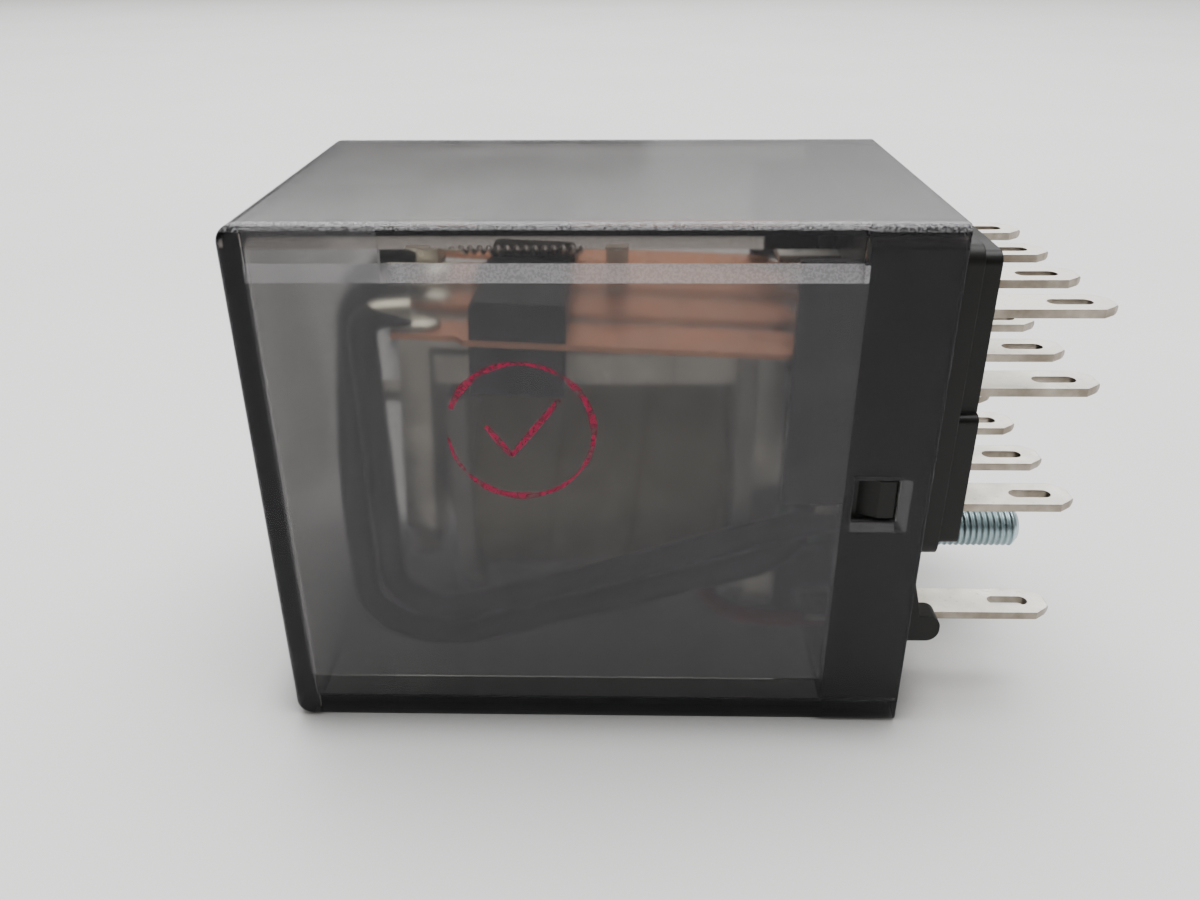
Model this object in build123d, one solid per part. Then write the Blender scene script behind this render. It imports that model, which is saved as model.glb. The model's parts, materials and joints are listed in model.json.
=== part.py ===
from build123d import *
import math
import os

# A four-pole plug-in control relay lying on its side: the terminals point along +X.
# Every piece is drawn from the cover's front lower far corner (x along the relay,
# y into it, z up) and moved at the end to sit centred over the origin. Millimetres.

# Cover
COVER_LENGTH = 33.6
COVER_DEPTH = 20.9
COVER_HEIGHT = 28.0
WALL = 0.8
END_WALL = 1.0
CORNER_ROUND = 0.9
EDGE_ROUND = 0.35
BAND_DEPTH = 0.3
BAND_CORNER_DEPTH = 0.2
WINDOW_LENGTH = 2.4
WINDOW_HEIGHT = 2.6

# Base
COVER_FIT = 0.08
SLOT_FIT = 0.03
FLOOR_THICK = 3.3
SIDE_WALL = 0.6
SKIRT_REACH = 1.0
FLANGE_THICK = 0.9
PLATFORM_RISE = 2.05
TAB_REACH = 1.95

# Terminals and contacts
BLADE_PITCH = 0.22 * COVER_DEPTH
BLADE_WIDTH = 2.3
BLADE_THICK = 0.45
BLADE_REACH = 8.65
SOLDER_SLOT_LENGTH = 2.2
SOLDER_SLOT_WIDTH = 0.8
CONTACT_R = 0.85
RIVET_SHANK_R = 0.45
CONTACT_GAP = 0.03

# Mounting stud: a shank held by the yoke's foot, then the thread outside the base
STUD_R = 1.25
STUD_SHANK_R = 1.0
STUD_SHOULDER = 0.3
STUD_REACH = 9.0

# Magnet
YOKE_THICK = 1.6
CORE_R = 2.0
POLE_R = 3.2
FLANGE_T = 1.0
TAPE_THICK = 0.25
ARMATURE_THICK = 1.6
ARMATURE_SWING = 2.5

# Moving contact springs and their moulded carrier
SPRING_THICK = 0.3
SPRING_GAP = 1.4
CARRIER_LENGTH = 4.7

# Leads
LEAD_R = 0.72
LEAD_STEP = 2 * LEAD_R + 0.15
COIL_LEAD_R = 0.45

# Return spring
WIRE_R = 0.15
COIL_MEAN_R = 0.55
HOOK_R = 0.8

# Places along the relay (x)
RIM = COVER_LENGTH
FLOOR_IN = RIM - 3.15
SKIRT_EDGE = FLOOR_IN - SKIRT_REACH
CONTACT_X = RIM - 5.55
SPRING_TIP = RIM - 4.55
FOOT_OUT = RIM - 6.75
FOOT_IN = FOOT_OUT - YOKE_THICK
YOKE_END = 8.6
PIVOT_X = YOKE_END - 0.1
POLE_FACE = PIVOT_X - 0.05
ARMATURE_FACE = POLE_FACE - 0.05
ARMATURE_BACK = ARMATURE_FACE - ARMATURE_THICK
CARRIER_X = PIVOT_X + 2.3
ANCHOR_X = PIVOT_X + 9.5
TOTAL_LENGTH = RIM + STUD_REACH

# Places across the relay (y)
MID_Y = COVER_DEPTH / 2
POLE_Y = [MID_Y + (i - 1.5) * BLADE_PITCH for i in range(4)]
SPRING_WIDTH = BLADE_PITCH - SPRING_GAP
YOKE_HALF = 1.5 * BLADE_PITCH - 0.95
LEAD_Y = WALL + 1.4

# Places up the relay (z)
ROW_1 = 0.825 * COVER_HEIGHT
ROW_2 = 0.6786 * COVER_HEIGHT
ROW_3 = 0.4429 * COVER_HEIGHT
ROW_4 = 0.1964 * COVER_HEIGHT
STUD_Z = 0.2321 * COVER_HEIGHT
COIL_Z = 0.3786 * COVER_HEIGHT
SPRING_Z = ROW_1 - 1.2
YOKE_TOP = SPRING_Z - 1.7
YOKE_UNDER = YOKE_TOP - YOKE_THICK
PIVOT_Z = YOKE_TOP + 0.2
COIL_R = YOKE_UNDER - COIL_Z - 2.2
TAIL_Z = PIVOT_Z + 4.0


def block(x0, x1, y0, y1, z0, z1):
    """A box between two opposite corners."""
    box = Box(x1 - x0, y1 - y0, z1 - z0)
    return Pos((x0 + x1) / 2, (y0 + y1) / 2, (z0 + z1) / 2) * box


def rod(x0, x1, y, z, r):
    """A round bar along X."""
    return Pos((x0 + x1) / 2, y, z) * Rot(0, 90, 0) * Cylinder(r, x1 - x0)


def post(x, y, z0, z1, r):
    """A round bar along Z."""
    return Pos(x, y, (z0 + z1) / 2) * Cylinder(r, z1 - z0)


def side_plate(points, y0, y1):
    """An outline of (x, z) points carried across from y0 to y1."""
    face = Plane.XZ * Polygon(*points, align=None)
    return Pos(0, y0, 0) * extrude(face, amount=y1 - y0, dir=(0, 1, 0))


def end_plate(points, x0, x1):
    """An outline of (y, z) points carried along from x0 to x1."""
    face = Plane.YZ * Polygon(*points, align=None)
    return Pos(x0, 0, 0) * extrude(face, amount=x1 - x0, dir=(1, 0, 0))


def flat_plate(points, z0, z1):
    """An outline of (x, y) points carried up from z0 to z1."""
    face = Polygon(*points, align=None)
    return Pos(0, 0, z0) * extrude(face, amount=z1 - z0, dir=(0, 0, 1))


def both_sides(part):
    """The part and its mirror image on the other side of the relay."""
    return [part, Pos(0, COVER_DEPTH, 0) * part.mirror(Plane.XZ)]


def to_rest(part):
    """Swing a part drawn with the magnet closed back to its rest position."""
    about = Pos(PIVOT_X, 0, PIVOT_Z)
    return about * Rot(0, ARMATURE_SWING, 0) * about.inverse() * part


def at_rest(x, z):
    """Where a point (x, z) drawn with the magnet closed lies at rest."""
    a = math.radians(ARMATURE_SWING)
    dx = x - PIVOT_X
    dz = z - PIVOT_Z
    return (
        PIVOT_X + dx * math.cos(a) + dz * math.sin(a),
        PIVOT_Z - dx * math.sin(a) + dz * math.cos(a),
    )


# ---------------------------------------------------------------- cover
def band_cut(x0, x1, depth):
    """What sets the band along the top of the cover's front back by depth, above a slope."""
    top = COVER_HEIGHT
    outline = [(-1, top - 2.65), (0, top - 2.65), (depth, top - 1.8), (depth, top - 0.2),
               (-1, top - 0.2)]
    return end_plate(outline, x0, x1)


def make_cover():
    outer = block(0, RIM, 0, COVER_DEPTH, 0, COVER_HEIGHT)
    outer = fillet(outer.edges().filter_by(Axis.Y).group_by(Axis.X)[0], CORNER_ROUND)
    edges = outer.edges().filter_by_position(Axis.X, 0, RIM - 0.01)
    face_edges = edges.group_by(Axis.Y)[0] + edges.group_by(Axis.Y)[-1]
    outer = fillet(face_edges, EDGE_ROUND)
    inner = block(END_WALL, RIM + 5, WALL, COVER_DEPTH - WALL, WALL, COVER_HEIGHT - WALL)
    edges = inner.edges().filter_by_position(Axis.X, 0, RIM + 4.9)
    cover = outer - fillet(edges, 0.4)
    band = band_cut(7.3, RIM - 4.5, BAND_DEPTH)
    band_corner = band_cut(1.2, 7.4, BAND_CORNER_DEPTH)
    low_band = end_plate([(-1, -1), (0.2, -1), (0.2, 2.7), (0, 2.95), (-1, 2.95)],
                         1.4, RIM - 4.25)
    low = 0.5 * COVER_HEIGHT - WINDOW_HEIGHT / 2
    high = low + WINDOW_HEIGHT
    left = RIM - 3.8
    right = left + WINDOW_LENGTH
    window = block(left, right, -1, WALL + 1, low, high)
    side_bevel = flat_plate([(right - 0.1, -0.1), (right + 0.6, -0.1), (right - 0.1, 0.45)],
                            low - 0.4, high)
    low_bevel = end_plate([(-0.1, low - 0.5), (0.4, low + 0.1), (-0.1, low + 0.1)], left, right)
    for cutter in (band, band_corner, low_band, window, side_bevel, low_bevel):
        cover = cover - both_sides(cutter)
    return cover


# ---------------------------------------------------------------- base
def blade_slots(rows):
    slots = []
    for z, ys in rows:
        for y in ys:
            half = BLADE_WIDTH / 2 + SLOT_FIT
            rise = BLADE_THICK / 2 + SLOT_FIT
            slots.append(block(SKIRT_EDGE, RIM + 5, y - half, y + half, z - rise, z + rise))
    return slots


def make_base():
    y0 = WALL + COVER_FIT
    y1 = COVER_DEPTH - y0
    z0 = WALL + COVER_FIT
    z1 = COVER_HEIGHT - z0
    plug = block(SKIRT_EDGE, FLOOR_IN + FLOOR_THICK, y0, y1, z0, z1)
    plug = fillet(plug.edges().filter_by(Axis.X), 0.45)
    well = block(SKIRT_EDGE - 1, FLOOR_IN, y0 + 0.8, y1 - 0.8, z0 + 0.8, z1 - 0.8)
    base = plug - well
    # flange that closes the cover's rim, then the raised terminal platform
    low = 0.379 * COVER_HEIGHT
    flange = block(RIM + 0.02, RIM + FLANGE_THICK, 0.3, COVER_DEPTH - 0.3, low, COVER_HEIGHT - 1.1)
    flange = fillet(flange.edges().filter_by(Axis.X), 0.8)
    platform = block(RIM, RIM + PLATFORM_RISE, 1.3, COVER_DEPTH - 1.3, low + 0.5,
                     COVER_HEIGHT - 1.6)
    platform = fillet(platform.edges().filter_by(Axis.X), 0.6)
    shoulder = block(RIM + 0.02, RIM + PLATFORM_RISE, 0.8, COVER_DEPTH - 0.8, low + 0.5,
                     0.657 * COVER_HEIGHT)
    shoulder = fillet(shoulder.edges().filter_by(Axis.X), 0.4)
    base = base + flange + platform + shoulder
    # tab that finds the hole in a chassis, with the little ramp above it
    tab = block(RIM, RIM + TAB_REACH, y0, 2.2, ROW_4 - 0.6, ROW_4 + 1.0)
    tab_end = tab.edges().filter_by(Axis.Y).sort_by(Axis.X)[-2:]
    tab = fillet(tab_end, 0.7)
    ramp = side_plate([(RIM, ROW_4 + 0.8), (RIM + 0.75, ROW_4 + 0.8), (RIM + 0.75, ROW_4 + 1.3),
                       (RIM + 0.15, ROW_4 + 3.7), (RIM, ROW_4 + 3.7)], y0, 2.2)
    base = base + tab + ramp
    # catches that snap into the cover's windows
    mid = 0.5 * COVER_HEIGHT
    catch = flat_plate([(RIM - 3.55, y0 + 0.1), (RIM - 1.6, y0 + 0.1), (RIM - 1.6, 0.35),
                        (RIM - 2.4, 0.35)], mid - 1.05, mid + 1.05)
    base = base + both_sides(catch)
    # side walls of the contact chamber
    wall = block(RIM - 7.2, FLOOR_IN + 0.5, y0, y0 + SIDE_WALL, ROW_3 + 1.2, z1 - 1.0)
    base = base + both_sides(wall)
    # pillars that the yoke's foot rests against
    for y in (MID_Y - 0.77 * YOKE_HALF, MID_Y + 0.77 * YOKE_HALF):
        for lo, hi in ((ROW_3 + 1.5, YOKE_UNDER - 0.7), (ROW_4 - 1.9, ROW_4 + 2.1)):
            base = base + block(FOOT_OUT + 0.02, FLOOR_IN + 0.5, y - 0.8, y + 0.8, lo, hi)
    base = base - blade_slots(TERMINAL_ROWS)
    return base - rod(SKIRT_EDGE, RIM + 5, MID_Y, STUD_Z, STUD_SHANK_R + 0.05)


TERMINAL_ROWS = (
    (ROW_1, POLE_Y),
    (ROW_2, POLE_Y),
    (ROW_3, POLE_Y),
    (ROW_4, (POLE_Y[0], POLE_Y[3])),
)


# ---------------------------------------------------------------- terminals
def make_terminal(x_in, y, z, contact_hole):
    """A flat blade from its inner end to its tapered tip, with a solder slot."""
    tip = RIM + BLADE_REACH
    half = BLADE_WIDTH / 2
    outline = [(x_in, -half), (tip - 0.9, -half), (tip - 0.3, -half + 0.45), (tip, -half + 0.8),
               (tip, half - 0.8), (tip - 0.3, half - 0.45), (tip - 0.9, half), (x_in, half)]
    blade = flat_plate(outline, -BLADE_THICK / 2, BLADE_THICK / 2)
    blade = chamfer(blade.edges().group_by(Axis.X)[-1].filter_by(Axis.Y), 0.12)
    slot = SlotOverall(SOLDER_SLOT_LENGTH, SOLDER_SLOT_WIDTH)
    cut = Pos(tip - 2.2, 0, -1) * extrude(slot, amount=2)
    blade = blade - cut
    if contact_hole:
        blade = blade - post(CONTACT_X, 0, -1, 1, RIVET_SHANK_R + 0.01)
    return Pos(0, y, z) * blade


def make_rivet(z_shank0, z_shank1, z_head0, z_head1, y):
    """A contact rivet: a shank inside its strip and a domed-edge head on one side."""
    head = post(CONTACT_X, y, z_head0, z_head1, CONTACT_R)
    rim = head.edges().sort_by(Axis.Z)
    free = rim[-1] if z_head0 >= z_shank1 - 0.001 else rim[0]
    head = chamfer([free], 0.1)
    return head + post(CONTACT_X, y, z_shank0, z_shank1, RIVET_SHANK_R)


# ---------------------------------------------------------------- magnet
def make_yoke():
    y0 = MID_Y - YOKE_HALF
    y1 = MID_Y + YOKE_HALF
    foot_low = ROW_4 - 1.5
    outline = [(YOKE_END, YOKE_TOP), (FOOT_OUT, YOKE_TOP), (FOOT_OUT, foot_low),
               (FOOT_IN, foot_low), (FOOT_IN, YOKE_UNDER), (YOKE_END, YOKE_UNDER)]
    yoke = side_plate(outline, y0, y1)
    bend = yoke.edges().filter_by(Axis.Y).filter_by_position(Axis.X, FOOT_OUT - 0.1, FOOT_OUT + 0.1)
    yoke = fillet(bend.sort_by(Axis.Z)[-1:], 1.3)
    corners = yoke.edges().filter_by(Axis.X).group_by(Axis.Z)[0]
    yoke = chamfer(corners, 1.5)
    # upright that anchors the return spring, standing between the middle springs
    anchor = block(ANCHOR_X - 0.6, ANCHOR_X + 0.6, MID_Y - 0.5, MID_Y + 0.5, YOKE_TOP - 0.5,
                   TAIL_Z + 0.7)
    hole = Pos(ANCHOR_X, MID_Y, TAIL_Z) * Rot(90, 0, 0) * Cylinder(0.36, 3)
    yoke = yoke + (anchor - hole)
    yoke = yoke - rod(FOOT_IN - 1, FOOT_OUT + 1, MID_Y, COIL_Z, CORE_R + 0.01)
    return yoke - rod(FOOT_IN - 1, FOOT_OUT + 1, MID_Y, STUD_Z, STUD_SHANK_R + 0.01)


def make_core():
    pole = rod(POLE_FACE, POLE_FACE + 0.5, MID_Y, COIL_Z, POLE_R)
    bar = rod(POLE_FACE + 0.3, FOOT_OUT + 0.25, MID_Y, COIL_Z, CORE_R)
    return pole + chamfer(bar.edges().sort_by(Axis.X)[-1:], 0.15)


def make_stud():
    shank = rod(FOOT_IN + 0.1, RIM + STUD_SHOULDER + 0.5, MID_Y, STUD_Z, STUD_SHANK_R)
    thread = rod(RIM + STUD_SHOULDER, RIM + STUD_REACH, MID_Y, STUD_Z, STUD_R)
    return shank + chamfer(thread.edges().sort_by(Axis.X)[-1:], 0.35)


FLANGE_1 = POLE_FACE + 0.6
FLANGE_2 = FOOT_IN - 0.05


def make_bobbin():
    low = COIL_Z - COIL_R - 0.6
    high = YOKE_UNDER - 0.9
    cut = 2.6
    y0 = MID_Y - YOKE_HALF + 0.15
    y1 = MID_Y + YOKE_HALF - 0.15
    near = end_plate([(y0 + cut, low), (y1 - cut, low), (y1, low + cut), (y1, high), (y0, high),
                      (y0, low + cut)], FLANGE_1, FLANGE_1 + FLANGE_T)
    w0 = MID_Y - YOKE_HALF - 1.0
    w1 = MID_Y + YOKE_HALF + 1.0
    far = end_plate([(w0 + cut + 0.6, low), (w1 - cut - 0.6, low), (w1, low + cut), (w1, high),
                     (w0, high), (w0, low + cut)], FLANGE_2 - FLANGE_T, FLANGE_2)
    ears = block(FLANGE_2 - FLANGE_T, FLANGE_2, w0, w0 + 0.9, high - 1, YOKE_TOP + 0.3)
    tube = rod(FLANGE_1, FLANGE_2, MID_Y, COIL_Z, CORE_R + 0.65)
    bobbin = near + far + both_sides(ears) + tube
    return bobbin - rod(FLANGE_1 - 1, FLANGE_2 + 1, MID_Y, COIL_Z, CORE_R + 0.03)


def make_winding(r_in, r_out, inset):
    x0 = FLANGE_1 + FLANGE_T + inset
    x1 = FLANGE_2 - FLANGE_T - inset
    return rod(x0, x1, MID_Y, COIL_Z, r_out) - rod(x0 - 1, x1 + 1, MID_Y, COIL_Z, r_in)


# ---------------------------------------------------------------- armature
LEG_UNDER = YOKE_TOP + 0.4
LEG_TOP = SPRING_Z - 0.4
LEG_END = CARRIER_X + 2.9


def make_armature():
    half = YOKE_HALF
    low = COIL_Z - POLE_R - 0.2
    plate = end_plate([(MID_Y - half + 1.7, low), (MID_Y + half - 1.7, low),
                       (MID_Y + half - 1.7, low + 2.6), (MID_Y + half, low + 2.6),
                       (MID_Y + half, LEG_TOP), (MID_Y - half, LEG_TOP),
                       (MID_Y - half, low + 2.6), (MID_Y - half + 1.7, low + 2.6)],
                      ARMATURE_BACK, ARMATURE_FACE)
    ear = block(ARMATURE_BACK - 1.3, ARMATURE_BACK + 0.2, MID_Y - half, MID_Y - half + 1.4,
                low + 10.3, low + 10.9)
    leg = block(ARMATURE_BACK + 0.5, LEG_END, MID_Y - half, MID_Y + half, LEG_UNDER, LEG_TOP)
    body = plate + leg + both_sides(ear)
    crown = body.edges().filter_by(Axis.Y).group_by(Axis.Z)[-1].sort_by(Axis.X)[:1]
    body = fillet(crown, 0.8)
    # tail that the return spring pulls on
    tail = block(ARMATURE_BACK + 0.1, ARMATURE_BACK + 1.3, MID_Y - 0.5, MID_Y + 0.5,
                 LEG_TOP - 0.9, TAIL_Z + 0.6)
    hole = Pos(ARMATURE_BACK + 0.7, MID_Y, TAIL_Z) * Rot(90, 0, 0) * Cylinder(0.36, 3)
    return body + (tail - hole)


def spring_blank(y, grow):
    """A moving spring with its solder tab, oversize by a clearance for its slot."""
    half = SPRING_WIDTH / 2 + grow
    tab = half - 0.55
    tip = SPRING_TIP + grow
    outline = [(CARRIER_X - 3.9, -tab), (CARRIER_X - 0.7, -tab), (CARRIER_X - 0.3, -half),
               (CONTACT_X - 1.8, -half), (CONTACT_X - 1.0, -half + 0.4), (tip - 0.5, -half + 0.4),
               (tip, -half + 0.9), (tip, half - 0.9), (tip - 0.5, half - 0.4),
               (CONTACT_X - 1.0, half - 0.4), (CONTACT_X - 1.8, half), (CARRIER_X - 0.3, half),
               (CARRIER_X - 0.7, tab), (CARRIER_X - 3.9, tab)]
    rise = SPRING_THICK / 2 + grow
    return Pos(0, y, 0) * flat_plate(outline, SPRING_Z - rise, SPRING_Z + rise)


def make_moving_spring(y):
    spring = spring_blank(y, 0.0)
    return spring - post(CONTACT_X, y, SPRING_Z - 1, SPRING_Z + 1, RIVET_SHANK_R + 0.01)


def make_carrier():
    x0 = CARRIER_X
    x1 = CARRIER_X + CARRIER_LENGTH
    y0 = POLE_Y[0] - SPRING_WIDTH / 2 + 0.05
    y1 = COVER_DEPTH - y0
    low = YOKE_TOP + 0.6
    body = block(x0, x1, y0, y1, low, SPRING_Z + 2.1)
    lug = block(x0, x1, y0, MID_Y - YOKE_HALF - 0.35, YOKE_TOP - 1.0, SPRING_Z)
    body = body + both_sides(lug)
    edges = body.edges().filter_by(Axis.Y).group_by(Axis.Z)[-1]
    body = fillet(edges, 0.35)
    # saddle that the return spring passes over
    body = body - block(x0 - 1, x1 + 1, MID_Y - 1.1, MID_Y + 1.1, SPRING_Z + 0.7, SPRING_Z + 3)
    # shallow steps between the poles on top
    for y in (POLE_Y[0] + BLADE_PITCH / 2, POLE_Y[2] + BLADE_PITCH / 2):
        body = body - block(x0 - 1, x1 + 1, y - 0.35, y + 0.35, SPRING_Z + 1.3, SPRING_Z + 3)
    for y in POLE_Y:
        body = body - spring_blank(y, 0.01)
    return body - block(x0 - 1, LEG_END + 0.02, MID_Y - YOKE_HALF - 0.02,
                        MID_Y + YOKE_HALF + 0.02, low - 1, LEG_TOP + 0.02)


# ---------------------------------------------------------------- return spring
def make_return_spring():
    tail_x, tail_z = at_rest(ARMATURE_BACK + 0.7, TAIL_Z)
    z = (tail_z + TAIL_Z) / 2
    x0 = tail_x + 2 * HOOK_R
    x1 = ANCHOR_X - 2 * HOOK_R
    turns = 14
    path = Helix(pitch=(x1 - x0) / turns, height=x1 - x0, radius=COIL_MEAN_R)
    section = Plane(path @ 0, z_dir=path % 0) * Circle(WIRE_R)
    coil = sweep(section, path=path, is_frenet=True)
    coil = Pos(x0, MID_Y, z) * Rot(0, 90, 0) * coil
    # the coil's wire starts and ends straight below its axis
    spring = coil
    for x, way in ((x0, -1), (x1, 1)):
        ring = Pos(x + way * HOOK_R, MID_Y, z) * Torus(HOOK_R, WIRE_R + 0.01)
        link = post(x, MID_Y, z - COIL_MEAN_R - 0.04, z + 0.05, WIRE_R + 0.03)
        spring = spring + ring + link
    return spring


# ---------------------------------------------------------------- leads
def bend_radii(points):
    """For each bend: 0.45 of the shorter run beside it, over the tangent of half the turn."""
    radii = []
    for a, b, c in zip(points, points[1:], points[2:]):
        run_in = Vector(*b) - Vector(*a)
        run_out = Vector(*c) - Vector(*b)
        half = math.radians(run_in.get_angle(run_out)) / 2
        shorter = min(run_in.length, run_out.length)
        radii.append(0.45 * shorter / math.tan(half))
    return radii


def make_lead(name, points, r):
    """A round lead swept along straight runs joined by tangent arcs."""
    radii = bend_radii(points)
    path = FilletPolyline(*points, radius=radii)
    section = Plane(path @ 0, z_dir=path % 0) * Circle(r)
    lead = sweep(section, path=path)
    due = math.pi * r * r * path.length
    print(name, "bends", [round(v, 2) for v in radii], "volume/section x length",
          round(lead.volume / due, 4))
    return lead


def across(points):
    """The same path on the other side of the relay."""
    return [(x, COVER_DEPTH - y, z) for x, y, z in points]


def outer_lead_path():
    top = SPRING_Z + 0.27 + LEAD_R
    end = ROW_3 - BLADE_THICK / 2 - LEAD_R - 0.02
    return [(7.9, POLE_Y[0] - 0.15, top), (5.5, LEAD_Y + 0.7, top), (5.9, LEAD_Y, 7.4),
            (8.5, LEAD_Y, 5.9), (17.0, LEAD_Y, 8.3), (RIM - 7.35, LEAD_Y + 0.1, end - 0.23),
            (FLOOR_IN - 0.3, POLE_Y[0] - 0.15, end)]


def inner_lead_path():
    top = SPRING_Z + 0.27 + LEAD_R
    end = ROW_3 - BLADE_THICK / 2 - LEAD_R - 0.02
    left = 5.8 - LEAD_STEP
    return [(7.9, POLE_Y[1], top), (left - 0.3, POLE_Y[1] - 0.7, top), (left, LEAD_Y + 0.1, 14.0),
            (left + 0.2, LEAD_Y, 5.7), (8.7, LEAD_Y, 5.8 - LEAD_STEP), (17.2, LEAD_Y, 8.3 - LEAD_STEP),
            (RIM - 6.6, LEAD_Y, end - 0.2 - LEAD_STEP), (RIM - 5.0, POLE_Y[1] - 2.2, end - 1.4),
            (RIM - 4.9, POLE_Y[1] - 0.2, end - 0.3), (FLOOR_IN - 0.3, POLE_Y[1], end)]


def coil_lead_path():
    z = ROW_4 - BLADE_THICK / 2 - COIL_LEAD_R - 0.02
    reach = (COIL_R + COIL_LEAD_R + 0.04) / math.sqrt(2)
    return [(FLANGE_2 - 2.6, MID_Y - reach * 0.89, COIL_Z - reach * 1.1),
            (FLANGE_2 - 1.4, POLE_Y[0] + 0.5, z - 0.1), (FOOT_OUT + 0.6, POLE_Y[0] - 0.1, z - 0.15),
            (FLOOR_IN - 0.5, POLE_Y[0], z)]


# ---------------------------------------------------------------- assembly
def build():
    nodes = {}
    nodes["cover"] = make_cover()
    nodes["base"] = make_base()
    nodes["mounting_stud"] = make_stud()
    nodes["yoke"] = make_yoke()
    nodes["core"] = make_core()
    nodes["bobbin"] = make_bobbin()
    nodes["coil_winding"] = make_winding(CORE_R + 0.67, COIL_R - TAPE_THICK - 0.02, 0.05)
    nodes["coil_tape"] = make_winding(COIL_R - TAPE_THICK, COIL_R, 0.1)
    nodes["armature"] = to_rest(make_armature())
    nodes["spring_carrier"] = to_rest(make_carrier())
    nodes["return_spring"] = make_return_spring()

    spring_top = SPRING_Z + SPRING_THICK / 2
    spring_under = SPRING_Z - SPRING_THICK / 2
    upper_head = 0.35
    lower_head = 0.38
    no_face = spring_top + upper_head + CONTACT_GAP
    nc_face = at_rest(CONTACT_X + CONTACT_R, spring_under - lower_head)[1] - CONTACT_GAP
    moving = []
    no_fixed = []
    nc_fixed = []
    for i, y in enumerate(POLE_Y, start=1):
        nodes[f"moving_spring_{i}"] = to_rest(make_moving_spring(y))
        nodes[f"no_terminal_{i}"] = make_terminal(CONTACT_X - 1.0, y, ROW_1, True)
        nodes[f"nc_terminal_{i}"] = make_terminal(CONTACT_X - 0.95, y, ROW_2, True)
        nodes[f"com_terminal_{i}"] = make_terminal(FLOOR_IN - 2.0, y, ROW_3, False)
        over = make_rivet(spring_under, spring_top, spring_top, spring_top + upper_head, y)
        under = make_rivet(spring_under, spring_top, spring_under - lower_head, spring_under, y)
        moving.append(to_rest(over + under))
        strip = (ROW_1 - BLADE_THICK / 2, ROW_1 + BLADE_THICK / 2)
        no_fixed.append(make_rivet(*strip, no_face, strip[0], y))
        strip = (ROW_2 - BLADE_THICK / 2, ROW_2 + BLADE_THICK / 2)
        nc_fixed.append(make_rivet(*strip, strip[1], nc_face, y))
    nodes["moving_contacts"] = Compound(children=moving)
    nodes["no_contacts"] = Compound(children=no_fixed)
    nodes["nc_contacts"] = Compound(children=nc_fixed)
    for i, y in ((1, POLE_Y[0]), (2, POLE_Y[3])):
        nodes[f"coil_terminal_{i}"] = make_terminal(FLOOR_IN - 2.0, y, ROW_4, False)

    outer = outer_lead_path()
    inner = inner_lead_path()
    coil = coil_lead_path()
    for i, path in enumerate((outer, inner, across(inner), across(outer)), start=1):
        nodes[f"contact_lead_{i}"] = make_lead(f"contact_lead_{i}", path, LEAD_R)
    for i, path in enumerate((coil, across(coil)), start=1):
        nodes[f"coil_lead_{i}"] = make_lead(f"coil_lead_{i}", path, COIL_LEAD_R)
    return nodes


os.makedirs("parts", exist_ok=True)
centre = Pos(-TOTAL_LENGTH / 2, -COVER_DEPTH / 2, 0)
for name, shape in build().items():
    export_step(centre * shape, f"parts/{name}.step")
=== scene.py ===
"""A plug-in control relay on its side, lit as in a small photo tent."""
import json
import math

import bpy
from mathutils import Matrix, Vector


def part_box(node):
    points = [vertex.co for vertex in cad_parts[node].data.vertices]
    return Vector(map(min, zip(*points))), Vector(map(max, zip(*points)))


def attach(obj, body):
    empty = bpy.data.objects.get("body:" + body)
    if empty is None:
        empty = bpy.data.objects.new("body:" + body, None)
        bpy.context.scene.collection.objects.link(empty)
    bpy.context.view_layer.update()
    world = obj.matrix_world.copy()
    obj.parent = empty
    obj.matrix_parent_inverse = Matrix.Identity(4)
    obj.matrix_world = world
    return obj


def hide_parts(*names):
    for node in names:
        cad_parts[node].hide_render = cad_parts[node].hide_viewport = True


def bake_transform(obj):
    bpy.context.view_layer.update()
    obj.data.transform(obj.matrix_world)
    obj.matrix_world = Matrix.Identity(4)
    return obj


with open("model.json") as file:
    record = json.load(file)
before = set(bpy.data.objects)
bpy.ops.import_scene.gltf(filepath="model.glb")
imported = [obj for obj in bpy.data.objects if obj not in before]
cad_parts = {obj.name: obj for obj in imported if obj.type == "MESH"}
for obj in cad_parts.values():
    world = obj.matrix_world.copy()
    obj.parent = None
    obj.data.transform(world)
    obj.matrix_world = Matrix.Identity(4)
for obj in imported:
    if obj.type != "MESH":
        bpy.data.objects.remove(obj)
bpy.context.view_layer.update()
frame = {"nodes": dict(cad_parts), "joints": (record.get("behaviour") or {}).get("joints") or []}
MM = 0.001

# ------------------------------------------------------------------ places, from the frame
COVER_LO, COVER_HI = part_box("cover")
STUD_LO, STUD_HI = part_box("mounting_stud")
SPRING_LO, SPRING_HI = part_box("return_spring")
COIL_LO, COIL_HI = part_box("coil_tape")
SPRING_TAB_LO, SPRING_TAB_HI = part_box("moving_spring_1")
HINGE = Vector(next(j["pos_m"] for j in frame["joints"] if j["name"] == "armature_hinge"))

# The cover's frosted panel, in from its ends, its underside and its top
PANEL_LEFT = COVER_LO.x + 1.15 * MM
PANEL_RIGHT = COVER_HI.x - 4.25 * MM
PANEL_LOW = COVER_LO.z + 2.95 * MM
PANEL_HIGH = COVER_HI.z - 2.65 * MM
PANEL_BEVEL = 0.85 * MM
POCKET_LEFT = COVER_LO.x + 7.3 * MM

# The latch windows' reach along the cover and up it
WINDOW_X = (COVER_HI.x - 3.85 * MM, COVER_HI.x - 0.75 * MM)
WINDOW_Z = (12.1 * MM, 15.4 * MM)

# How much of the light each kind of frosting scatters back, and how dark the plastic is. The rim's
# and the windows' haze is a painted highlight, and the bevel's is frosting with a painted
# highlight.
PLAIN_HAZE = 0.01
PANEL_HAZE = (0.045, 0.065)
BEVEL_FROST_AND_HIGHLIGHT = (0.34, 0.46)
TOP_HAZE = (0.015, 0.035)
RIM_PAINTED_HIGHLIGHT = (0.04, 0.32)
WINDOW_PAINTED_HIGHLIGHT = 0.12
SMOKE_DENSITY = 1200.0

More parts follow.
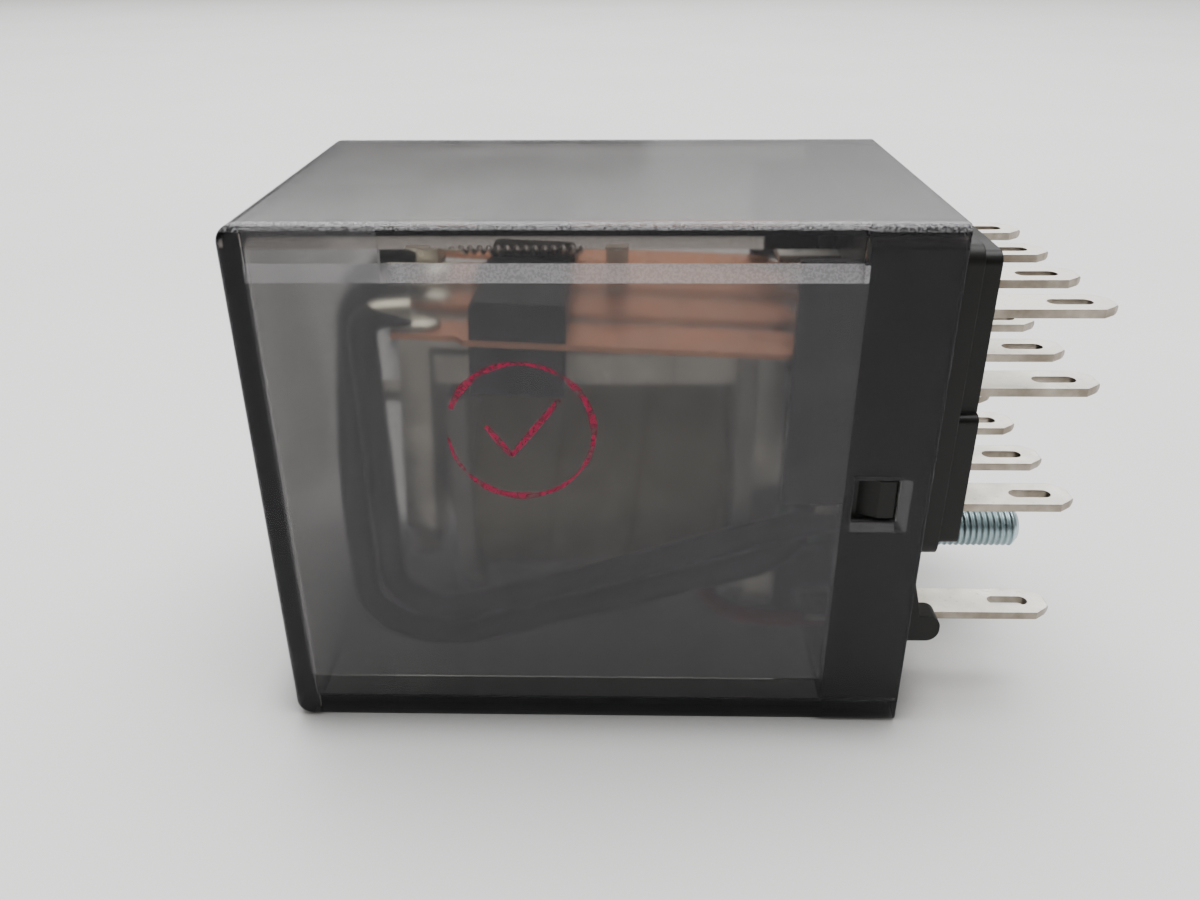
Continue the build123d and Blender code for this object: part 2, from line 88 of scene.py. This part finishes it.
# Where the leads' sleeves stop and their bare ends lie along the springs' tabs
BARE_END_X = SPRING_TAB_LO.x + 1.0 * MM
BARE_END_Z = SPRING_TAB_HI.z + 0.66 * MM


# ------------------------------------------------------------------ shader building
class Shader:
    """One material's node tree. Inputs may be numbers, colours or other nodes' sockets."""

    def __init__(self, name):
        self.material = bpy.data.materials.new(name)
        self.material.use_nodes = True
        self.tree = self.material.node_tree
        self.tree.nodes.clear()
        self.output = self.tree.nodes.new("ShaderNodeOutputMaterial")
        self.place = self.add("ShaderNodeTexCoord").outputs["Object"]

    def add(self, kind, inputs=None, **settings):
        made = self.tree.nodes.new(kind)
        for key, value in settings.items():
            setattr(made, key, value)
        for key, value in (inputs or {}).items():
            self.fill(made.inputs[key], value)
        return made

    def fill(self, socket, value):
        if isinstance(value, bpy.types.NodeSocket):
            self.tree.links.new(value, socket)
        elif socket.type == "RGBA" and len(value) == 3:
            socket.default_value = (*value, 1.0)
        else:
            socket.default_value = value

    def math(self, operation, a, b=0.0, clamp=False):
        made = self.add("ShaderNodeMath", {0: a, 1: b}, operation=operation, use_clamp=clamp)
        return made.outputs[0]

    def invert(self, value):
        return self.math("SUBTRACT", 1.0, value)

    def times(self, *values):
        total = values[0]
        for value in values[1:]:
            total = self.math("MULTIPLY", total, value)
        return total

    def remap(self, value, low, high, to_low=0.0, to_high=1.0):
        made = self.add(
            "ShaderNodeMapRange",
            {"Value": value, "From Min": low, "From Max": high,
             "To Min": to_low, "To Max": to_high},
            interpolation_type="SMOOTHSTEP",
        )
        return made.outputs[0]

    def axes(self):
        parts = self.add("ShaderNodeSeparateXYZ", {0: self.place})
        return parts.outputs[0], parts.outputs[1], parts.outputs[2]

    def between(self, value, low, high, soft):
        rise = self.remap(value, low - soft, low + soft)
        fall = self.remap(value, high - soft, high + soft, 1.0, 0.0)
        return self.times(rise, fall)

    def noise(self, size, detail=3.0, stretch=(1, 1, 1), roughness=0.55):
        """Noise whose features are about size metres wide, longer where stretch is above 1."""
        scaled = self.add(
            "ShaderNodeMapping", {"Vector": self.place, "Scale": [1 / s for s in stretch]}
        )
        made = self.add(
            "ShaderNodeTexNoise",
            {"Vector": scaled.outputs[0], "Scale": 1 / size, "Detail": detail,
             "Roughness": roughness},
        )
        return made.outputs[0]

    def mix(self, share, a, b):
        made = self.add("ShaderNodeMix", data_type="RGBA")
        self.fill(made.inputs[0], share)
        self.fill(made.inputs[6], a)
        self.fill(made.inputs[7], b)
        return made.outputs[2]

    def rounded(self, radius):
        """The surface's normal with its edges rounded over radius metres."""
        return self.add("ShaderNodeBevel", {"Radius": radius}, samples=4).outputs[0]

    def edges(self, radius):
        """1 along edges and 0 on open faces."""
        plain = self.add("ShaderNodeNewGeometry").outputs["True Normal"]
        same = self.add(
            "ShaderNodeVectorMath", {0: self.rounded(radius), 1: plain}, operation="DOT_PRODUCT"
        )
        return self.remap(same.outputs["Value"], 0.97, 0.80)

    def bump(self, height, depth, normal=None, strength=1.0):
        made = self.add(
            "ShaderNodeBump", {"Height": height, "Distance": depth, "Strength": strength}
        )
        if normal is not None:
            self.fill(made.inputs["Normal"], normal)
        return made.outputs[0]

    def surface(self, inputs):
        made = self.add("ShaderNodeBsdfPrincipled", inputs)
        self.tree.links.new(made.outputs[0], self.output.inputs["Surface"])
        return made


# ------------------------------------------------------------------ materials
def moulded_plastic(name, dark, light, roughness, grain=0.12 * MM):
    """A moulded plastic with a fine spark-eroded grain, lighter along its edges as a painted
    highlight.
    """
    s = Shader(name)
    cloud = s.noise(3.0 * MM, 4.0)
    fine = s.noise(grain, 2.0)
    edge = s.times(s.edges(0.12 * MM), s.remap(s.noise(0.8 * MM), 0.35, 0.65))
    colour = s.mix(s.remap(cloud, 0.3, 0.7), dark, light)
    # Painted highlight: the colour is lightened along the edges.
    colour = s.mix(s.times(edge, 0.35), colour, tuple(min(1.0, 2.5 * v + 0.03) for v in light))
    rough = s.math("ADD", s.remap(cloud, 0.3, 0.7, roughness - 0.06, roughness + 0.06),
                   s.times(edge, -0.1))
    s.surface({
        "Base Color": colour, "Roughness": rough, "IOR": 1.42, "Specular IOR Level": 0.3,
        "Normal": s.bump(fine, 0.006 * MM, s.rounded(0.08 * MM)),
    })
    return s.material


def plated_metal(name, colour, worn, roughness, lay=(8, 1, 1), wear=0.6, cut_edge=None):
    """A plated metal with rolling marks along lay, cloudy tarnish, worn and bare cut edges."""
    s = Shader(name)
    marks = s.noise(0.06 * MM, 3.0, lay)
    cloud = s.noise(1.6 * MM, 5.0)
    spots = s.remap(s.noise(0.35 * MM, 4.0), 0.60, 0.72)
    edge = s.times(s.edges(0.07 * MM), s.remap(s.noise(0.5 * MM), 0.3, 0.6))
    tint = s.mix(s.remap(cloud, 0.35, 0.7), colour, tuple(0.88 * v for v in colour))
    tint = s.mix(s.times(spots, 0.35), tint, tuple(0.55 * v for v in colour))
    tint = s.mix(s.times(edge, wear), tint, worn)
    if cut_edge:
        plain = s.add("ShaderNodeNewGeometry").outputs["True Normal"]
        upward = s.add("ShaderNodeSeparateXYZ", {0: plain}).outputs[2]
        bare = s.remap(s.math("ABSOLUTE", upward), 0.35, 0.75, 1.0, 0.0)
        tint = s.mix(s.times(bare, s.remap(cloud, 0.2, 0.8, 0.8, 1.0)), tint, cut_edge)
    rough = s.math("ADD", s.remap(cloud, 0.3, 0.7, roughness - 0.08, roughness + 0.10),
                   s.times(spots, 0.15))
    rough = s.math("ADD", rough, s.remap(marks, 0.3, 0.7, -0.05, 0.05))
    s.surface({
        "Base Color": tint, "Metallic": 1.0, "Roughness": rough,
        "Normal": s.bump(marks, 0.004 * MM, s.rounded(0.06 * MM)),
    })
    return s.material


def cover_zones(s):
    """Shares from 0 to 1 of each kind of surface on the cover, by name."""
    x, y, z = s.axes()
    soft = 0.03 * MM
    across = s.math("ABSOLUTE", y)
    normal = s.add("ShaderNodeNewGeometry").outputs["True Normal"]
    facing = s.add("ShaderNodeSeparateXYZ", {0: normal})
    wide_face = s.remap(s.math("ABSOLUTE", facing.outputs[1]), 0.75, 0.95)
    outside = s.remap(across, COVER_HI.y - 0.75 * MM, COVER_HI.y - 0.6 * MM)
    along = s.between(x, PANEL_LEFT, PANEL_RIGHT, soft)
    panel = s.times(along, s.between(z, PANEL_LOW, PANEL_HIGH, soft))
    corner = s.times(s.between(x, PANEL_LEFT, POCKET_LEFT, soft),
                     s.between(z, PANEL_HIGH, COVER_HI.z - 0.3 * MM, soft))
    within_border = s.times(s.between(x, PANEL_LEFT, COVER_HI.x + 1 * MM, soft),
                            s.between(z, PANEL_LOW, COVER_HI.z + 1 * MM, 0.08 * MM))
    return {
        "frost": s.times(s.math("ADD", panel, corner, clamp=True), wide_face, outside),
        # Painted shade: the outer faces' strips outside the panel, which get a darker tint.
        "painted_shade_border": s.times(wide_face, outside, s.invert(within_border)),
        # The bevel share carries frosting and a painted highlight, weaker left of the pocket.
        "bevel": s.times(along, s.between(z, PANEL_HIGH, PANEL_HIGH + PANEL_BEVEL, soft), outside),
        "bevel_highlight_strength": s.remap(x, POCKET_LEFT, POCKET_LEFT + 1 * MM, 0.55, 1.0),
        "top": s.times(s.remap(facing.outputs[2], 0.80, 0.98),
                       s.remap(z, COVER_HI.z - 0.12 * MM, COVER_HI.z - 0.05 * MM)),
        # The rim and window shares carry painted highlights.
        "rim": s.times(s.remap(z, COVER_HI.z - 0.34 * MM, COVER_HI.z - 0.28 * MM), outside),
        "window": s.times(s.between(x, *WINDOW_X, soft), s.between(z, *WINDOW_Z, soft), outside,
                          s.invert(wide_face)),
        # The inner skin along the top edge, whose thick corner would look black
        "ledge": s.times(s.remap(z, COVER_HI.z - 1.35 * MM, COVER_HI.z - 1.15 * MM),
                         s.remap(z, COVER_HI.z - 0.70 * MM, COVER_HI.z - 0.60 * MM, 1.0, 0.0),
                         s.remap(across, COVER_HI.y - 1.9 * MM, COVER_HI.y - 1.4 * MM),
                         s.invert(outside)),
    }


def smoked_cover():
    """Smoked clear plastic: darker the deeper one looks, frosted on its panels and its top.
    Whitish haze paints highlights on its top rim, on its latch windows' edges and, over frosting,
    on its panel's upper bevel. Its border strips get a painted shade.
    """
    s = Shader("smoked_cover")
    zone = cover_zones(s)
    streaks = s.noise(0.5 * MM, 4.0, (1, 1, 9))
    drift = s.noise(5.0 * MM, 3.0)
    fine = s.noise(0.05 * MM, 2.0)
    sparkle = s.remap(s.noise(0.12 * MM, 3.0), 0.38, 0.62)

    dull = s.math("MAXIMUM", zone["frost"],
                  s.math("MAXIMUM", zone["bevel"], s.times(zone["top"], 0.5)))
    clear_rough = s.remap(streaks, 0.3, 0.7, 0.06, 0.10)
    frost_rough = s.remap(drift, 0.3, 0.7, 0.20, 0.25)
    rough = s.math("ADD", s.times(clear_rough, s.invert(dull)), s.times(frost_rough, dull))
    grain = s.bump(s.times(fine, dull), 0.003 * MM, s.rounded(0.10 * MM))
    glass = s.add("ShaderNodeBsdfPrincipled", {
        # Painted shade: a darker tint on the border strips outside the panel.
        "Base Color": s.mix(zone["painted_shade_border"], (0.93, 0.93, 0.92), (0.66, 0.68, 0.68)),
        "Roughness": rough, "IOR": 1.45, "Specular Tint": (0.38, 0.38, 0.40),
        "Transmission Weight": 1.0, "Normal": grain,
    })
    haze_and_highlight = s.add("ShaderNodeBsdfPrincipled", {
        "Base Color": (0.62, 0.61, 0.63), "Roughness": 0.45, "IOR": 1.45, "Normal": grain,
    })
    frost_and_highlight_share = PLAIN_HAZE
    for share in (
        s.times(zone["frost"], s.remap(streaks, 0.25, 0.75, *PANEL_HAZE)),
        # Frosting with a painted highlight: whitish haze along the panel's upper bevel.
        s.times(zone["bevel"], zone["bevel_highlight_strength"], s.remap(sparkle, 0.0, 1.0, *BEVEL_FROST_AND_HIGHLIGHT)),
        s.times(zone["top"], s.remap(drift, 0.3, 0.7, *TOP_HAZE)),
        # Painted highlights: whitish haze round the latch windows' edges and along the top rim.
        s.times(zone["window"], WINDOW_PAINTED_HIGHLIGHT),
        s.times(zone["rim"], s.remap(sparkle, 0.0, 1.0, *RIM_PAINTED_HIGHLIGHT)),
    ):
        frost_and_highlight_share = s.math("ADD", frost_and_highlight_share, share, clamp=True)
    seen = s.add("ShaderNodeMixShader", {0: frost_and_highlight_share, 1: glass.outputs[0], 2: haze_and_highlight.outputs[0]})

    thin = s.add("ShaderNodeBsdfTransparent", {"Color": (0.62, 0.57, 0.54)})
    with_ledge = s.add("ShaderNodeMixShader",
                       {0: zone["ledge"], 1: seen.outputs[0], 2: thin.outputs[0]})
    lets_light_in = s.add("ShaderNodeBsdfTransparent", {"Color": (0.92, 0.91, 0.90)})
    light_path = s.add("ShaderNodeLightPath")
    both = s.add("ShaderNodeMixShader", {
        0: light_path.outputs["Is Shadow Ray"], 1: with_ledge.outputs[0],
        2: lets_light_in.outputs[0],
    })
    s.tree.links.new(both.outputs[0], s.output.inputs["Surface"])
    smoke = s.add("ShaderNodeVolumeAbsorption",
                  {"Color": (0.08, 0.07, 0.06), "Density": SMOKE_DENSITY})
    s.tree.links.new(smoke.outputs[0], s.output.inputs["Volume"])
    return s.material


def bobbin_nylon():
    """Off-white nylon that lets a little light into it."""
    s = Shader("bobbin_nylon")
    cloud = s.noise(2.0 * MM)
    s.surface({
        "Base Color": s.mix(s.remap(cloud, 0.3, 0.7), (0.74, 0.72, 0.66), (0.82, 0.80, 0.74)),
        "Roughness": s.remap(cloud, 0.3, 0.7, 0.38, 0.5), "Subsurface Weight": 0.25,
        "Subsurface Radius": (0.8 * MM, 0.7 * MM, 0.6 * MM), "IOR": 1.53,
        "Normal": s.bump(s.noise(0.1 * MM), 0.005 * MM, s.rounded(0.12 * MM)),
    })
    return s.material


def wound_tape():
    """Beige tape wrapped round the coil, each lap a little proud of the last."""
    s = Shader("wound_tape")
    x, y, z = s.axes()
    lap_width = 4.5 * MM
    turn = s.math("ARCTAN2", s.math("SUBTRACT", z, (COIL_LO.z + COIL_HI.z) / 2), y)
    lap = s.math("FRACT", s.math("ADD", s.times(x, 1 / lap_width), s.times(turn, 0.5 / math.pi)))
    step = s.remap(lap, 0.94, 1.0)
    cloud = s.noise(2.5 * MM, 4.0)
    fibre = s.noise(0.08 * MM, 2.0, (1, 12, 12))
    colour = s.mix(s.remap(cloud, 0.3, 0.7), (0.50, 0.45, 0.29), (0.64, 0.57, 0.38))
    colour = s.mix(s.times(step, 0.5), colour, (0.25, 0.21, 0.12))
    height = s.math("ADD", lap, s.times(fibre, 0.25))
    s.surface({
        "Base Color": colour, "Roughness": s.remap(cloud, 0.3, 0.7, 0.32, 0.45), "IOR": 1.5,
        "Coat Weight": 0.2, "Coat Roughness": 0.2,
        "Normal": s.bump(height, 0.05 * MM),
    })
    return s.material


def enamelled_wire():
    """Fine lacquered copper wire, wound turn beside turn."""
    s = Shader("enamelled_wire")
    x, _, _ = s.axes()
    wire_width = 0.16 * MM
    turns = s.math("SINE", s.times(x, 2 * math.pi / wire_width))
    cloud = s.noise(1.5 * MM)
    s.surface({
        "Base Color": s.mix(s.remap(cloud, 0.3, 0.7), (0.42, 0.15, 0.06), (0.55, 0.23, 0.09)),
        "Metallic": 0.7, "Roughness": s.remap(cloud, 0.3, 0.7, 0.28, 0.4),
        "Coat Weight": 0.6, "Coat Roughness": 0.12,
        "Normal": s.bump(turns, 0.03 * MM),
    })
    return s.material


def soft_sleeve(name, dark, light, bare_ends=False):
    """Extruded soft sleeving: fine draw marks and a dull, waxy shine. Bare ends are tinned."""
    s = Shader(name)
    cloud = s.noise(1.2 * MM, 4.0)
    fine = s.noise(0.07 * MM, 2.0)
    colour = s.mix(s.remap(cloud, 0.3, 0.7), dark, light)
    rough = s.remap(cloud, 0.3, 0.7, 0.42, 0.58)
    metal = 0.0
    if bare_ends:
        x, _, z = s.axes()
        height = s.math("ADD", z, s.times(s.math("SUBTRACT", x, BARE_END_X), 0.35))
        metal = s.remap(height, BARE_END_Z - 0.04 * MM, BARE_END_Z + 0.04 * MM)
        colour = s.mix(metal, colour, s.mix(cloud, (0.86, 0.82, 0.68), (0.74, 0.70, 0.58)))
        rough = s.math("ADD", rough, s.times(metal, -0.15))
    s.surface({
        "Base Color": colour, "Roughness": rough, "IOR": 1.48, "Metallic": metal,
        "Sheen Weight": 0.1, "Sheen Roughness": 0.4, "Specular IOR Level": 0.35,
        "Normal": s.bump(s.math("ADD", fine, s.times(cloud, 2.0)), 0.01 * MM),
    })
    return s.material


def stamp_ink():
    """Red ink from a rubber stamp: patchy, thin in places, gone in some."""
    s = Shader("stamp_ink")
    patch = s.noise(0.7 * MM, 4.0)
    grit = s.noise(0.12 * MM, 3.0)
    cover = s.times(s.remap(patch, 0.30, 0.52), s.remap(grit, 0.25, 0.5, 0.45, 1.0))
    s.surface({
        "Base Color": s.mix(s.remap(grit, 0.3, 0.7), (0.26, 0.010, 0.045), (0.38, 0.020, 0.080)),
        "Roughness": 0.6, "Specular IOR Level": 0.2, "Alpha": s.times(cover, 0.80),
        "Normal": s.bump(grit, 0.01 * MM),
    })
    return s.material


def paper_floor():
    """Pale paper, shaded a little more where it nearly meets what stands on it."""
    s = Shader("pale_floor")
    cloud = s.noise(60 * MM, 4.0)
    fine = s.noise(0.35 * MM, 3.0)
    colour = s.mix(s.remap(cloud, 0.3, 0.7), (0.745, 0.74, 0.735), (0.775, 0.77, 0.765))
    near = s.add("ShaderNodeAmbientOcclusion", {"Distance": 3.0 * MM}, samples=6)
    shade = s.remap(near.outputs["AO"], 0.45, 1.0, 0.75, 0.0)
    s.surface({
        "Base Color": s.mix(shade, colour, (0.10, 0.10, 0.10)),
        "Roughness": 0.75, "Specular IOR Level": 0.25,
        "Normal": s.bump(fine, 0.02 * MM, strength=0.3),
    })
    return s.material


BLACK = moulded_plastic("black_moulding", (0.003, 0.003, 0.0026), (0.006, 0.006, 0.005), 0.42)
TINNED = plated_metal("tinned_brass", (0.97, 0.94, 0.86), (0.88, 0.76, 0.52), 0.38, wear=0.2,
                      cut_edge=(0.20, 0.165, 0.125))
IRON = plated_metal("plated_iron", (0.76, 0.72, 0.64), (0.90, 0.87, 0.80), 0.36, (1, 1, 6))
ZINC = plated_metal("zinc_plate", (0.36, 0.47, 0.50), (0.60, 0.69, 0.72), 0.38, (1, 4, 4), 0.3)
COPPER = plated_metal("spring_copper", (0.93, 0.46, 0.29), (0.97, 0.64, 0.47), 0.36, (14, 1, 1))
SILVER = plated_metal("silver_contact", (0.90, 0.89, 0.86), (0.95, 0.94, 0.92), 0.26, (1, 1, 1))
STEEL = plated_metal("spring_steel", (0.34, 0.33, 0.32), (0.50, 0.49, 0.47), 0.34, (1, 1, 1))
SOLDER = plated_metal("solder", (0.82, 0.78, 0.66), (0.88, 0.85, 0.76), 0.34, (1, 1, 1), 0.2)
COVER = smoked_cover()
BOBBIN = bobbin_nylon()
TAPE = wound_tape()
WIRE = enamelled_wire()
BLACK_SLEEVE = soft_sleeve("black_sleeve", (0.006, 0.006, 0.006), (0.010, 0.010, 0.010), True)
RED_SLEEVE = soft_sleeve("red_sleeve", (0.22, 0.015, 0.02), (0.32, 0.03, 0.035))
INK = stamp_ink()

NODE_MATERIALS = {
    "cover": COVER, "base": BLACK, "spring_carrier": BLACK, "mounting_stud": ZINC,
    "yoke": IRON, "core": IRON, "armature": IRON, "bobbin": BOBBIN, "coil_winding": WIRE,
    "coil_tape": TAPE, "return_spring": STEEL, "moving_contacts": SILVER,
    "no_contacts": SILVER, "nc_contacts": SILVER, "coil_terminal": TINNED,
    "no_terminal": TINNED, "nc_terminal": TINNED, "com_terminal": TINNED,
    "moving_spring": COPPER, "contact_lead": BLACK_SLEEVE, "coil_lead": RED_SLEEVE,
}


for name, obj in frame["nodes"].items():
    family = name if name in NODE_MATERIALS else name.rsplit("_", 1)[0]
    obj.data.materials.clear()
    obj.data.materials.append(NODE_MATERIALS[family])


# ------------------------------------------------------------------ pieces built here
def new_piece(name, verts, faces, material, smooth=True):
    """A mesh object of these points and faces, linked to the scene."""
    mesh = bpy.data.meshes.new(name)
    mesh.from_pydata([tuple(v) for v in verts], [], faces)
    mesh.validate()
    mesh.materials.append(material)
    if smooth:
        mesh.shade_smooth()
    obj = bpy.data.objects.new(name, mesh)
    bpy.context.scene.collection.objects.link(obj)
    return obj


def skin(rings):
    """Faces that join rings of equal length, with a cap on each end."""
    count = len(rings[0])
    verts = [v for ring in rings for v in ring]
    faces = []
    for i in range(len(rings) - 1):
        a, b = i * count, (i + 1) * count
        for j in range(count):
            k = (j + 1) % count
            faces.append((a + j, a + k, b + k, b + j))
    faces.append(tuple(range(count - 1, -1, -1)))
    faces.append(tuple(range((len(rings) - 1) * count, len(rings) * count)))
    return verts, faces


def threaded_stud():
    """The stud: a plain shank, then a thread as a real helix that falls and rises each pitch."""
    radius = (STUD_HI.z - STUD_LO.z) / 2
    axis_z = (STUD_HI.z + STUD_LO.z) / 2
    shank_radius = 1.0 * MM
    pitch, depth = 0.36 * MM, 0.10 * MM
    rings_per_turn, around = 10, 40
    point_length = 0.35 * MM
    start = COVER_HI.x + 0.32 * MM
    end = STUD_HI.x

    def thread_radius(x, turn):
        wave = abs(2 * (((x - start) / pitch - turn) % 1.0) - 1)
        cut = depth * min(1.0, max(0.0, 1.25 * wave - 0.12))
        lead_in = max(0.0, point_length - (end - x))
        return min(radius - cut, radius - lead_in)

    count = int((end - start) / (pitch / rings_per_turn))
    places = [(STUD_LO.x, False), (start - 0.02 * MM, False)]
    places += [(start + (end - start) * i / count, True) for i in range(count + 1)]
    rings = []
    for x, threaded in places:
        ring = []
        for j in range(around):
            angle = 2 * math.pi * j / around
            r = thread_radius(x, j / around) if threaded else shank_radius
            ring.append((x, r * math.cos(angle), axis_z + r * math.sin(angle)))
        rings.append(ring)
    stud = new_piece("stud_thread", *skin(rings), ZINC)
    stud.data.set_sharp_from_angle(angle=math.radians(50))
    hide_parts("mounting_stud")
    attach(stud, "frame")


def tube(points, radius):
    """Rings of a round wire along points."""
    sides = 10
    rings = []
    side = Vector((0, 1, 0))
    for i, point in enumerate(points):
        ahead = points[min(i + 1, len(points) - 1)] - points[max(i - 1, 0)]
        ahead.normalize()
        side = (side - ahead * side.dot(ahead)).normalized()
        up = ahead.cross(side)
        ring = []
        for j in range(sides):
            a = 2 * math.pi * j / sides
            ring.append(point + side * (radius * math.cos(a)) + up * (radius * math.sin(a)))
        rings.append(ring)
    return rings


def return_spring():
    """One wire: a hook round the anchor, the close coil, and a hook round the tail."""
    wire = 0.15 * MM
    coil_radius = 0.55 * MM
    hook = 0.8 * MM
    hook_steps, hook_sweep = 24, 330
    turns, per_turn = 14, 24
    z = (SPRING_LO.z + SPRING_HI.z) / 2
    coil_start = SPRING_LO.x + wire + 2 * hook
    coil_end = SPRING_HI.x - wire - 2 * hook

    def hook_points(centre_x, first_angle):
        angles = [math.radians(first_angle + hook_sweep * k / hook_steps)
                  for k in range(hook_steps + 1)]
        return [Vector((centre_x + hook * math.cos(a), hook * math.sin(a), z)) for a in angles]

    points = hook_points(coil_start - hook, 20)
    inset = 0.2 * MM
    for k in range(turns * per_turn + 1):
        a = 2 * math.pi * k / per_turn
        x = coil_start + inset
        x += (coil_end - coil_start - 2 * inset) * k / (turns * per_turn)
        points.append(Vector((x, -coil_radius * math.sin(a), z + coil_radius * math.cos(a))))
    points += hook_points(coil_end + hook, 200)
    spring = new_piece("return_spring_wire", *skin(tube(points, wire)), STEEL)
    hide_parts("return_spring")
    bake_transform(spring)


def solder_blob(name, centre, size, body):
    """A small solder fillet: a flattened, uneven drop."""
    levels, around = 12, 20
    rings = []
    for i in range(1, levels):
        t = math.pi * i / levels
        ring = []
        for j in range(around):
            a = 2 * math.pi * j / around
            lump = 1 + 0.10 * math.sin(2 * a + centre.y * 900) + 0.06 * math.cos(3 * a + t)
            r = math.sin(t) ** 0.8 * lump
            ring.append(centre + Vector((size[0] * r * math.cos(a), size[1] * r * math.sin(a),
                                         size[2] * math.cos(t))))
        rings.append(ring)
    blob = new_piece(name, *skin(rings), SOLDER)
    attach(blob, body)


def solder_joints():
    """Each flexible lead is soldered to its spring's tab and to its common terminal."""
    for i in range(1, 5):
        low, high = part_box(f"moving_spring_{i}")
        tab = Vector((low.x + 1.1 * MM, (low.y + high.y) / 2, HINGE.z + 1.75 * MM))
        solder_blob(f"tab_solder_{i}", tab, (1.25 * MM, 0.95 * MM, 0.42 * MM), "armature")
        low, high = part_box(f"com_terminal_{i}")
        foot = Vector((low.x + 0.9 * MM, (low.y + high.y) / 2, low.z - 0.1 * MM))
        solder_blob(f"com_solder_{i}", foot, (0.85 * MM, 0.9 * MM, 0.45 * MM), "frame")


def stamp():
    """The inspector's ring with a plain tick in it, printed on the near panel."""
    centre_x = COVER_LO.x + 13.4 * MM
    centre_z = COVER_LO.z + 17.9 * MM
    y = COVER_LO.y - 0.012 * MM
    ring_radius, line = 3.55 * MM, 0.25 * MM
    ring_steps, tick_steps = 120, 12
    verts, faces = [], []
    for k in range(ring_steps + 1):
        a = math.radians(-175 + 335 * k / ring_steps)
        half = line * (1 + 0.35 * math.sin(3 * a + 0.6) + 0.2 * math.sin(11 * a)) / 2
        for r in (ring_radius - half, ring_radius + half):
            verts.append((centre_x + r * math.cos(a), y, centre_z + r * math.sin(a)))
    faces += [(2 * k, 2 * k + 1, 2 * k + 3, 2 * k + 2) for k in range(ring_steps)]
    tick = [(-1.7, 0.3), (-0.5, -1.3), (1.9, 1.7)]
    for (ax, az), (bx, bz) in zip(tick, tick[1:]):
        along = Vector((bx - ax, 0, bz - az))
        side = Vector((-along.z, 0, along.x)).normalized() * 0.14
        base = len(verts)
        for k in range(tick_steps + 1):
            swell = 0.8 + 0.4 * math.sin(math.pi * k / tick_steps)
            at = Vector((ax, 0, az)) + along * (k / tick_steps)
            for way in (-1, 1):
                p = at + side * (way * swell)
                verts.append((centre_x + p.x * MM, y, centre_z + p.z * MM))
        faces += [(base + 2 * k, base + 2 * k + 1, base + 2 * k + 3, base + 2 * k + 2)
                  for k in range(tick_steps)]
    mark = new_piece("inspection_stamp", verts, faces, INK, smooth=False)
    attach(mark, "frame")


threaded_stud()
return_spring()
stamp()
solder_joints()


# ------------------------------------------------------------------ stage
def make_stage():
    """A pale sheet: a flat floor with a low rise far behind."""
    profile = [(-1.5, 0.0), (-0.6, 0.0), (0.0, 0.0), (0.8, 0.0), (1.6, 0.0), (2.4, 0.0),
               (2.7, 0.02), (2.9, 0.08), (3.0, 0.16)]
    half_width = 2.6
    verts = [(x, y, z) for y, z in profile for x in (-half_width, half_width)]
    faces = [(2 * i, 2 * i + 1, 2 * i + 3, 2 * i + 2) for i in range(len(profile) - 1)]
    floor = new_piece("floor", verts, faces, paper_floor())


def soft_room():
    """A room that is bright overhead and behind, and dim low down and on the viewer's side."""
    world = bpy.data.worlds.new("soft_room")
    world.use_nodes = True
    tree = world.node_tree
    place = tree.nodes.new("ShaderNodeTexCoord")
    axes = tree.nodes.new("ShaderNodeSeparateXYZ")
    rise = tree.nodes.new("ShaderNodeMapRange")
    depth = tree.nodes.new("ShaderNodeMapRange")
    total = tree.nodes.new("ShaderNodeMath")
    total.operation = "MULTIPLY"
    for node, values in ((rise, (0.22, 0.70, 0.21, 1.0)), (depth, (-0.9, 0.4, 0.55, 1.0))):
        node.interpolation_type = "SMOOTHSTEP"
        for name, value in zip(("From Min", "From Max", "To Min", "To Max"), values):
            node.inputs[name].default_value = value
    back = tree.nodes["Background"]
    back.inputs["Color"].default_value = (1.0, 0.985, 0.97, 1.0)
    tree.links.new(place.outputs["Generated"], axes.inputs[0])
    tree.links.new(axes.outputs[2], rise.inputs["Value"])
    tree.links.new(axes.outputs[1], depth.inputs["Value"])
    tree.links.new(rise.outputs[0], total.inputs[0])
    tree.links.new(depth.outputs[0], total.inputs[1])
    tree.links.new(total.outputs[0], back.inputs["Strength"])
    bpy.context.scene.world = world


def area_light(name, place, aim, size, power):
    data = bpy.data.lights.new(name, "AREA")
    data.shape = "RECTANGLE"
    data.size, data.size_y = size
    data.energy = power
    lamp = bpy.data.objects.new(name, data)
    lamp.location = place
    lamp.rotation_euler = (Vector(aim) - Vector(place)).to_track_quat("-Z", "Y").to_euler()
    bpy.context.scene.collection.objects.link(lamp)


make_stage()
soft_room()
area_light("overhead", (0.03, 0.10, 0.60), (0, 0, 0), (0.70, 0.50), 7.4)
area_light("back_window", (-0.05, 0.60, 0.34), (0, 0, 0.01), (0.90, 0.34), 1.7)
area_light("low_window", (0.17, 1.00, 0.213), (0, 0, 0.03), (0.30, 0.05), 0.035)

# ------------------------------------------------------------------ camera
camera_data = bpy.data.cameras.new("camera")
camera_data.sensor_width = 36.0
camera_data.lens = 30.69
camera_data.clip_start = 0.001
camera_data.clip_end = 10.0
camera = bpy.data.objects.new("camera", camera_data)
camera.location = (-3.00 * MM, -54.94 * MM, 39.59 * MM)
camera.rotation_euler = [math.radians(a) for a in (63.015, 0.325, 1.211)]
bpy.context.scene.collection.objects.link(camera)
bpy.context.scene.camera = camera
